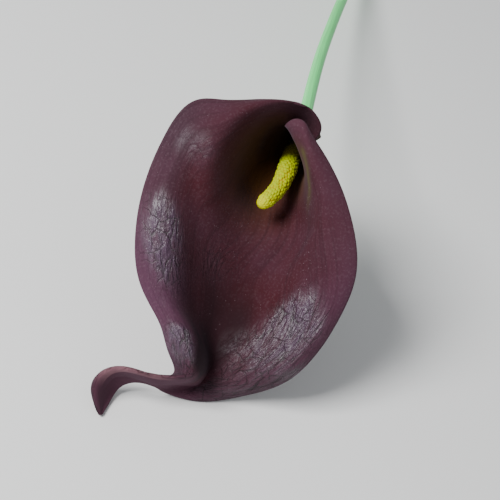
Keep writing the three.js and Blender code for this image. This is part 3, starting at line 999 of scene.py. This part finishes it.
@dataclass
class Spadix:
    """The spike in the throat, covered in small round florets."""

    radius: float = 2.97 * MM
    base_radius: float = 2.05 * MM
    tip_radius: float = 2.25 * MM
    floret_height: float = 0.48 * MM
    floret_spread: float = 0.58
    florets_around: int = 16
    floret_rows: int = 44
    columns: int = 170
    rows: int = 400
    rounding_start: float = 0.93
    rounding_power: float = 2.4
    sunk_share: float = 0.6
    jitter: float = 0.22
    least_stature: float = 0.5
    row_pitch: float = 0.87
    last_loss: float = 0.55
    bare_radius: float = 0.8 * MM
    seat: float = 2.3 * MM
    seed: int = 11

    def radii(self, along: np.ndarray) -> np.ndarray:
        """Returns the spike's radius under the florets at each share of its length."""
        swell = smooth(along, 0, 0.25)
        taper = smooth(along, 0.5, 1)
        girth = self.base_radius + (self.radius - self.base_radius) * swell
        body = girth + (self.tip_radius - girth) * taper
        tip = np.clip((along - self.rounding_start) / (1 - self.rounding_start), 0, 1)
        rounded = np.sqrt(np.maximum(1 - tip**self.rounding_power, 0))
        closed = np.sqrt(smooth(along, 0.0, 0.01))
        return (body - self.floret_height * self.sunk_share) * rounded * closed

    def florets(self, along: np.ndarray) -> np.ndarray:
        """Finds how high the florets stand at each sample and column.

        Args:
            along: One share per row.

        Returns:
            The height as a share of a floret's.
        """
        random = np.random.default_rng(self.seed)
        shape = (self.floret_rows + 3, self.florets_around)
        jitter_along = random.uniform(-self.jitter, self.jitter, shape)
        jitter_around = random.uniform(-self.jitter, self.jitter, shape)
        stature = random.uniform(self.least_stature, 1.0, shape)
        row_place = (along * self.floret_rows)[:, None]
        column_place = np.linspace(0, self.florets_around, self.columns + 1)[None, :]
        height = np.zeros((len(along), self.columns + 1))
        for offset in (-1, 0, 1):
            row = np.clip(np.floor(row_place).astype(int) + offset, -1, self.floret_rows + 1)
            stagger = 0.5 * (row % 2)
            for turn in (0, 1):
                column = np.floor(column_place - stagger).astype(int) + turn
                index = (row + 1, column % self.florets_around)
                off_row = (row_place - row - jitter_along[index]) * self.row_pitch
                off_column = column_place - column - stagger - jitter_around[index]
                share = np.hypot(off_row, off_column) / self.floret_spread
                dome = np.sqrt(np.maximum(1 - share**2, 0)) * stature[index]
                height = np.maximum(height, dome)
        fade = 1 - self.last_loss * smooth(along, 0.93, 0.99)
        return height * fade[:, None] * smooth(along, 0.0, 0.03)[:, None]

    def build(self, pose: LyingPose, finish: SpadixFinish) -> None:
        """Builds the spike in the bloom's pose and its own finish."""
        start = TubeRing.beside_axis(self.seat, 0, 0)
        points = np.concatenate([[start], np.array(SPADIX_LINE) * MM])
        line = CentreLine(points, self.rows + 1)
        along = np.linspace(0, 1, self.rows + 1)
        relief = self.florets(along)
        smooth_radii = self.radii(along)[:, None]
        closing = np.clip(smooth_radii / self.bare_radius, 0, 1)
        table = pose.place(line.tube(smooth_radii + relief * self.floret_height * closing))
        build_piece("granular_spadix", "spadix", finish.material(), [(table, {"relief": relief})])


@dataclass
class Stem:
    """The smooth scape that carries the bloom, cut square at its end."""

    radius: float = 2.1 * MM
    inset: float = 2 * MM
    ridge: float = 0.03 * MM
    ridges: int = 9
    cut_edge: float = 0.12 * MM
    columns: int = 60
    rows: int = 330
    cap_rows: int = 10

    def build(self, pose: LyingPose, finish: StemFinish) -> None:
        """Builds the stem behind the bloom's pose in its own finish, with both ends closed."""
        collar = pose.place(AXIS_START)
        top = pose.place(TubeRing.beside_axis(self.inset, 0, 0))
        points = np.concatenate([[top, collar], collar + np.array(STEM_LINE) * MM])
        line = CentreLine(points, self.rows + 1)
        angles = np.linspace(0, 2 * math.pi, self.columns + 1)
        side = np.tile(self.radius + self.ridge * np.cos(self.ridges * angles), (self.rows + 1, 1))
        table = line.tube(side - self.ridge)
        shares = np.linspace(1, 0, self.cap_rows + 1)
        caps = []
        for end, sign in ((0, -1), (-1, 1)):
            centre, outward = line.centres[end], line.tangents[end] * sign * self.cut_edge
            inner = (table[end] - centre) * (1 - self.cut_edge / self.radius)
            caps.append([centre + inner * share + outward for share in shares])
        table = np.array([*reversed(caps[0]), *table, *caps[1]])
        cap, length = np.ones(self.cap_rows + 1), np.zeros(self.rows + 1)
        cut = np.concatenate([cap, length, cap])
        inward = np.concatenate([1 - shares[::-1], length, 1 - shares])
        numbers = {"cut": cut, "inward": inward}
        spread = {key: np.tile(row[:, None], self.columns + 1) for key, row in numbers.items()}
        build_piece("green_stem", "stem", finish.material(), [(table, spread)])


@dataclass
class Studio:
    """The pale floor, the soft light and the camera. Directions are in the camera's axes."""

    distance: float = 330 * MM
    lens: float = 85.5
    clip_start: float = 10 * MM
    roll: float = math.radians(22)
    floor_size: float = 6.0
    key_distance: float = 0.9
    key_size: float = 0.34
    key_power: float = 12.5
    key_direction: Triple = (-0.43, 0.44, 0.79)
    sky: Colour = (0.93, 0.96, 1.0)
    sky_strength: float = 0.38

    def axes(self, pose: LyingPose) -> np.ndarray:
        """Returns the camera's right, up and back directions in the frame, one per row."""
        cos, sin = math.cos(self.roll), math.sin(self.roll)
        return pose.tip(np.array([[cos, sin, 0], [-sin, cos, 0], [0, 0, 1.0]]))

    def build_camera(self, pose: LyingPose) -> None:
        """Places the camera straight in front of the bloom's mouth, rolled about its view."""
        axes = self.axes(pose)
        matrix = Matrix(axes.T.tolist()).to_4x4()
        matrix.translation = Vector(pose.place(np.array([0, 0, self.distance])))
        data = bpy.data.cameras.new("camera")
        data.lens = self.lens
        data.clip_start = self.clip_start
        camera = add_object("camera", data)
        camera.matrix_world = matrix
        bpy.context.scene.camera = camera

    def build_light(self, pose: LyingPose) -> None:
        """Places the soft square light and the even sky."""
        direction = unit(np.array(self.key_direction)) @ self.axes(pose)
        target = pose.place(np.zeros(3))
        data = bpy.data.lights.new("key", "AREA")
        data.shape = "SQUARE"
        data.size = self.key_size
        data.energy = self.key_power
        light = add_object("key", data)
        light.location = Vector(target + direction * self.key_distance)
        light.rotation_euler = Vector(direction).to_track_quat("Z", "Y").to_euler()
        world = bpy.data.worlds.new("studio")
        world.use_nodes = True
        background = world.node_tree.nodes["Background"]
        background.inputs["Color"].default_value = (*self.sky, 1.0)
        background.inputs["Strength"].default_value = self.sky_strength
        bpy.context.scene.world = world

    def build_floor(self, finish: FloorFinish) -> None:
        """Lays the floor under the flower, in its finish."""
        half = self.floor_size / 2
        corners = [(-half, -half, 0), (half, -half, 0), (half, half, 0), (-half, half, 0)]
        data = bpy.data.meshes.new("floor")
        data.from_pydata(corners, [], [(0, 1, 2, 3)])
        data.materials.append(finish.material())
        add_object("floor", data)


def main() -> None:
    logging.basicConfig(level=logging.INFO, format="%(message)s")
    pose = LyingPose()
    spathe = Spathe()
    spathe.settle(pose)
    LOG.info("bloom set down at %s mm", [round(value / MM, 2) for value in pose.shift])
    studio = Studio()
    studio.build_camera(pose)
    studio.build_light(pose)
    studio.build_floor(FloorFinish())
    spathe.build(pose, PetalFinish())
    Spadix().build(pose, SpadixFinish())
    Stem().build(pose, StemFinish())


if __name__ == "__main__":
    main()
